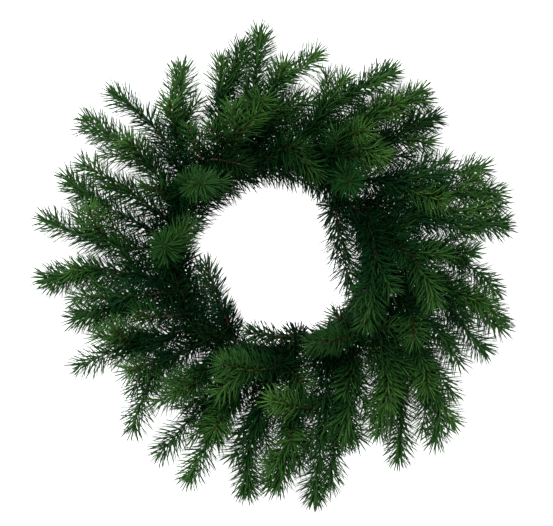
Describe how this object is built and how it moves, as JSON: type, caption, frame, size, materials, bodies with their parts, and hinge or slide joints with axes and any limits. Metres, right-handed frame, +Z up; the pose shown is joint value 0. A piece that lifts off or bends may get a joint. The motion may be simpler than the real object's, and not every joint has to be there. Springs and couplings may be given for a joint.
{
  "type": "evergreen wreath",
  "caption": "Round wreath of fresh evergreen sprays with dense pointed needles, clamped on a wire ring round an open hole.",
  "frame": {"origin": "the middle of the outline's box in X and Y, on the surface that the wreath lies on", "axes": "+Z up along the hole's axis, out of the wreath's front; +Y towards the top of the picture, +X to its right"},
  "size_m": [0.4628, 0.4558, 0.0857],
  "materials": {
    "evergreen": "dark green needles with a soft sheen on thin brown twigs",
    "painted_wire": "dark green enamel on steel wire, satin"
  },
  "bodies": {
    "root": {"ring_frame": "painted_wire", "spray_01": "evergreen", "spray_02": "evergreen", "spray_03": "evergreen", "spray_04": "evergreen", "spray_05": "evergreen", "spray_06": "evergreen", "spray_07": "evergreen", "spray_08": "evergreen", "spray_09": "evergreen", "spray_10": "evergreen", "spray_11": "evergreen", "spray_12": "evergreen", "spray_13": "evergreen", "spray_14": "evergreen", "spray_15": "evergreen", "spray_16": "evergreen", "spray_17": "evergreen", "spray_18": "evergreen", "spray_19": "evergreen", "spray_20": "evergreen", "spray_21": "evergreen", "spray_22": "evergreen", "spray_23": "evergreen", "spray_24": "evergreen", "spray_25": "evergreen", "spray_26": "evergreen", "spray_27": "evergreen", "spray_28": "evergreen", "spray_29": "evergreen", "spray_30": "evergreen", "spray_31": "evergreen", "spray_32": "evergreen", "spray_33": "evergreen", "spray_34": "evergreen", "spray_35": "evergreen", "spray_36": "evergreen", "spray_37": "evergreen", "spray_38": "evergreen", "spray_39": "evergreen", "spray_40": "evergreen", "spray_41": "evergreen", "spray_42": "evergreen", "spray_43": "evergreen", "spray_44": "evergreen", "spray_45": "evergreen", "spray_46": "evergreen", "spray_47": "evergreen", "spray_48": "evergreen", "spray_49": "evergreen", "spray_50": "evergreen"}
  },
  "joints": []
}
